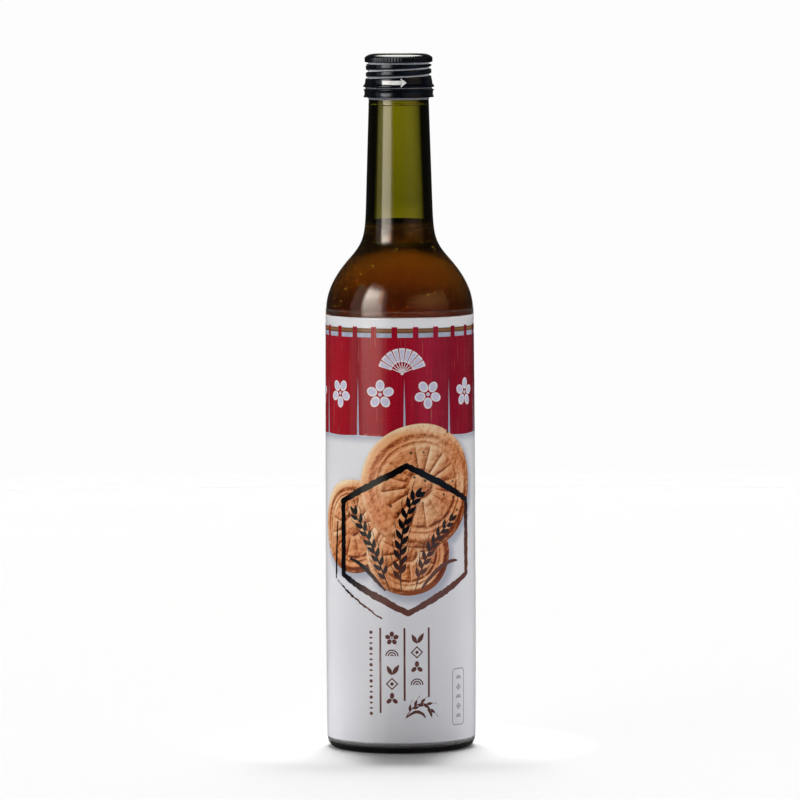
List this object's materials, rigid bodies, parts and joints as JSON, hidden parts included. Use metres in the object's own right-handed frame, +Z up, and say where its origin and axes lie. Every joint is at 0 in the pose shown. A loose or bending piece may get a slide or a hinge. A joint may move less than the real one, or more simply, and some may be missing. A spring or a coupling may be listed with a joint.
{
  "type": "capped liqueur bottle",
  "caption": "Slim green glass liqueur bottle, filled and closed, with a black roll-on screw cap with tamper band and a printed shrink sleeve with a red door-curtain print.",
  "frame": {"origin": "centre of the standing ring, on the surface that the bottle stands on", "axes": "+Z up along the bottle's axis, -Y towards the front of the printed sleeve"},
  "size_m": [0.064, 0.064, 0.2955],
  "materials": {
    "green_glass": "clear olive-green bottle glass, polished",
    "drink": "slightly cloudy brown liqueur with fine specks",
    "sleeve_film": "printed shrink film, satin gloss: cool white ground, red curtain, brown motifs",
    "black_lacquer": "gloss black lacquer on aluminium with a white printed arrow"
  },
  "bodies": {
    "root": {"glass_bottle": "green_glass", "liqueur": "drink", "shrink_sleeve": "sleeve_film", "screw_cap": "black_lacquer"}
  },
  "joints": []
}
